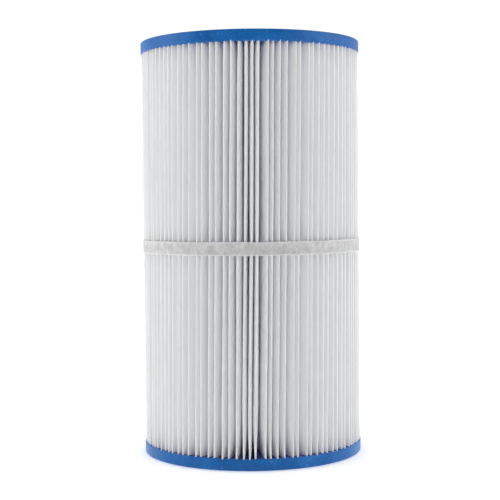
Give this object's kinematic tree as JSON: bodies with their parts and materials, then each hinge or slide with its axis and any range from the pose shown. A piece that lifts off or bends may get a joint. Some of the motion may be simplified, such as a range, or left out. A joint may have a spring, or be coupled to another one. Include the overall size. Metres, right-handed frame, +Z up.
{
  "type": "filter cartridge",
  "caption": "Pleated pool and spa filter cartridge with a soft blue end cap at each end, a windowed core, a narrow strap round the middle and an open passage from end to end.",
  "frame": {"origin": "centre of the bottom cap's outer face, on the axis", "axes": "+Z up the cartridge's axis; +Y towards the back, where the sheet's seam is; +X to the right seen from the front"},
  "size_m": [0.1254, 0.1254, 0.235],
  "materials": {
    "end_cap_blue": "satin cast urethane, slightly mottled",
    "filter_fabric": "matte white non-woven polyester",
    "seam_adhesive": "milky adhesive",
    "core_plastic": "white moulded plastic",
    "strap_fabric": "translucent white non-woven tape",
    "lap_adhesive": "clear cream adhesive"
  },
  "bodies": {
    "root": {"bottom_end_cap": "end_cap_blue", "top_end_cap": "end_cap_blue", "pleated_media": "filter_fabric", "media_seam_strip": "seam_adhesive", "core_section_lower": "core_plastic", "core_section_middle": "core_plastic", "core_section_upper": "core_plastic", "girth_band": "strap_fabric", "band_lap_glue": "lap_adhesive"}
  },
  "joints": []
}
